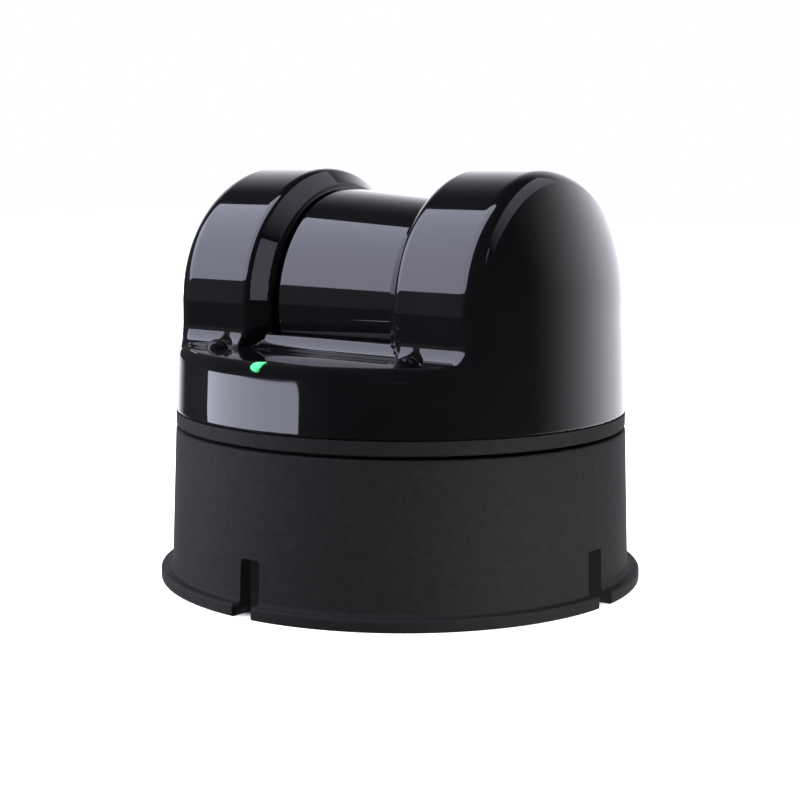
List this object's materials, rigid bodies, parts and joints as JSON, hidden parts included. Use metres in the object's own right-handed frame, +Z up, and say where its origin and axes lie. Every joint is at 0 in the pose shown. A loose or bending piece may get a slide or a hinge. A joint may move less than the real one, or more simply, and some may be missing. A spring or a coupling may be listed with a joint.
{
  "type": "pan-tilt camera",
  "caption": "Compact pan-and-tilt camera: round matte base, glossy turning head with two ears, and a tilting lens drum between them.",
  "frame": {"origin": "centre of the flange's underside, on the pan axis", "axes": "+Z up the pan axis; -Y to the front, where the status light is; +X to the ear that holds the tilt motor"},
  "size_m": [0.0732, 0.0732, 0.0615],
  "materials": {
    "matte_shell": "fine spark-eroded charcoal ABS",
    "gloss_shell": "piano-black polycarbonate, polished",
    "gloss_drum": "piano-black polycarbonate, polished",
    "button_black": "satin black cap",
    "light_green": "lit green light pipe",
    "smoked_window": "smoked polycarbonate window",
    "lens_glass": "coated lens glass with a violet bloom",
    "lamp_glass": "dark red-black infrared lamp resin",
    "barrel_black": "blacked, non-reflecting",
    "plate_steel": "zinc-plated sheet",
    "screw_steel": "zinc-plated",
    "screw_black": "black-oxide steel",
    "motor_steel": "drawn steel can",
    "socket_steel": "nickel-plated socket shell",
    "brass": "turned brass",
    "foot_rubber": "soft black anti-slip rubber",
    "circuit_board": "green solder mask",
    "chip_black": "moulded black epoxy",
    "cable_black": "black wire sleeve",
    "speaker_black": "black speaker body",
    "white_acetal": "natural acetal"
  },
  "bodies": {
    "base": {"base_housing": "matte_shell", "base_plate": "plate_steel", "base_plate_screws": "screw_steel", "tripod_nut": "brass", "foot_ring": "foot_rubber", "main_board": "circuit_board", "board_chips": "chip_black", "board_screws": "screw_steel", "usb_socket": "socket_steel", "card_socket": "socket_steel", "reset_switch": "chip_black", "cable_header": "white_acetal", "hub_cable": "cable_black", "speaker": "speaker_black", "pan_motor": "motor_steel", "pan_motor_screws": "screw_steel", "pan_bush": "white_acetal"},
    "pan_drive": {"pan_motor_shaft": "screw_steel", "pan_pinion": "brass"},
    "button": {"reset_button": "button_black"},
    "head": {"turntable": "matte_shell", "pan_gear": "white_acetal", "hub_retainer": "plate_steel", "head_shell": "gloss_shell", "shell_screws": "screw_black", "led_light_pipe": "light_green", "led_board": "circuit_board", "yoke_left": "plate_steel", "yoke_right": "plate_steel", "yoke_screws": "screw_steel", "tilt_bush_left": "white_acetal", "tilt_bush_right": "white_acetal", "tilt_motor": "motor_steel", "tilt_motor_screws": "screw_steel", "driver_board": "circuit_board"},
    "tilt_drive": {"tilt_motor_shaft": "screw_steel", "tilt_pinion": "brass"},
    "drum": {"drum_shell": "gloss_drum", "drum_cap": "gloss_drum", "drum_screws": "screw_steel", "tilt_axle_left": "screw_steel", "tilt_axle_right": "screw_steel", "tilt_gear": "white_acetal", "lens_window": "smoked_window", "lens_holder": "chip_black", "lens_barrel": "barrel_black", "lens_glass": "lens_glass", "sensor_board": "circuit_board", "image_sensor": "chip_black", "infrared_board": "barrel_black", "infrared_lamps": "lamp_glass"}
  },
  "joints": [
    {"name": "pan", "type": "hinge", "parent": "base", "child": "head", "pos_m": [0, 0, 0.0236], "axis": [0, 0, 1], "range_deg": [-170, 170]},
    {"name": "tilt", "type": "hinge", "parent": "head", "child": "drum", "pos_m": [0, 0, 0.04155], "axis": [1, 0, 0], "range_deg": [-35, 195]},
    {"name": "pan_motor_turn", "type": "hinge", "parent": "base", "child": "pan_drive", "pos_m": [-0.018, 0, 0.0203], "axis": [0, 0, 1], "range_deg": [-900, 900]},
    {"name": "tilt_motor_turn", "type": "hinge", "parent": "head", "child": "tilt_drive", "pos_m": [0.0252, 0, 0.03115], "axis": [1, 0, 0], "range_deg": [-700, 160]},
    {"name": "reset_press", "type": "slide", "parent": "base", "child": "button", "axis": [-0.4695, -0.8829, 0], "range_m": [0, 0.0005], "stiffness_N_per_m": 600}
  ],
  "couplings": [
    {"joint": "pan_motor_turn", "follows": "pan", "ratio": -5},
    {"joint": "tilt_motor_turn", "follows": "tilt", "ratio": -3.3333}
  ]
}
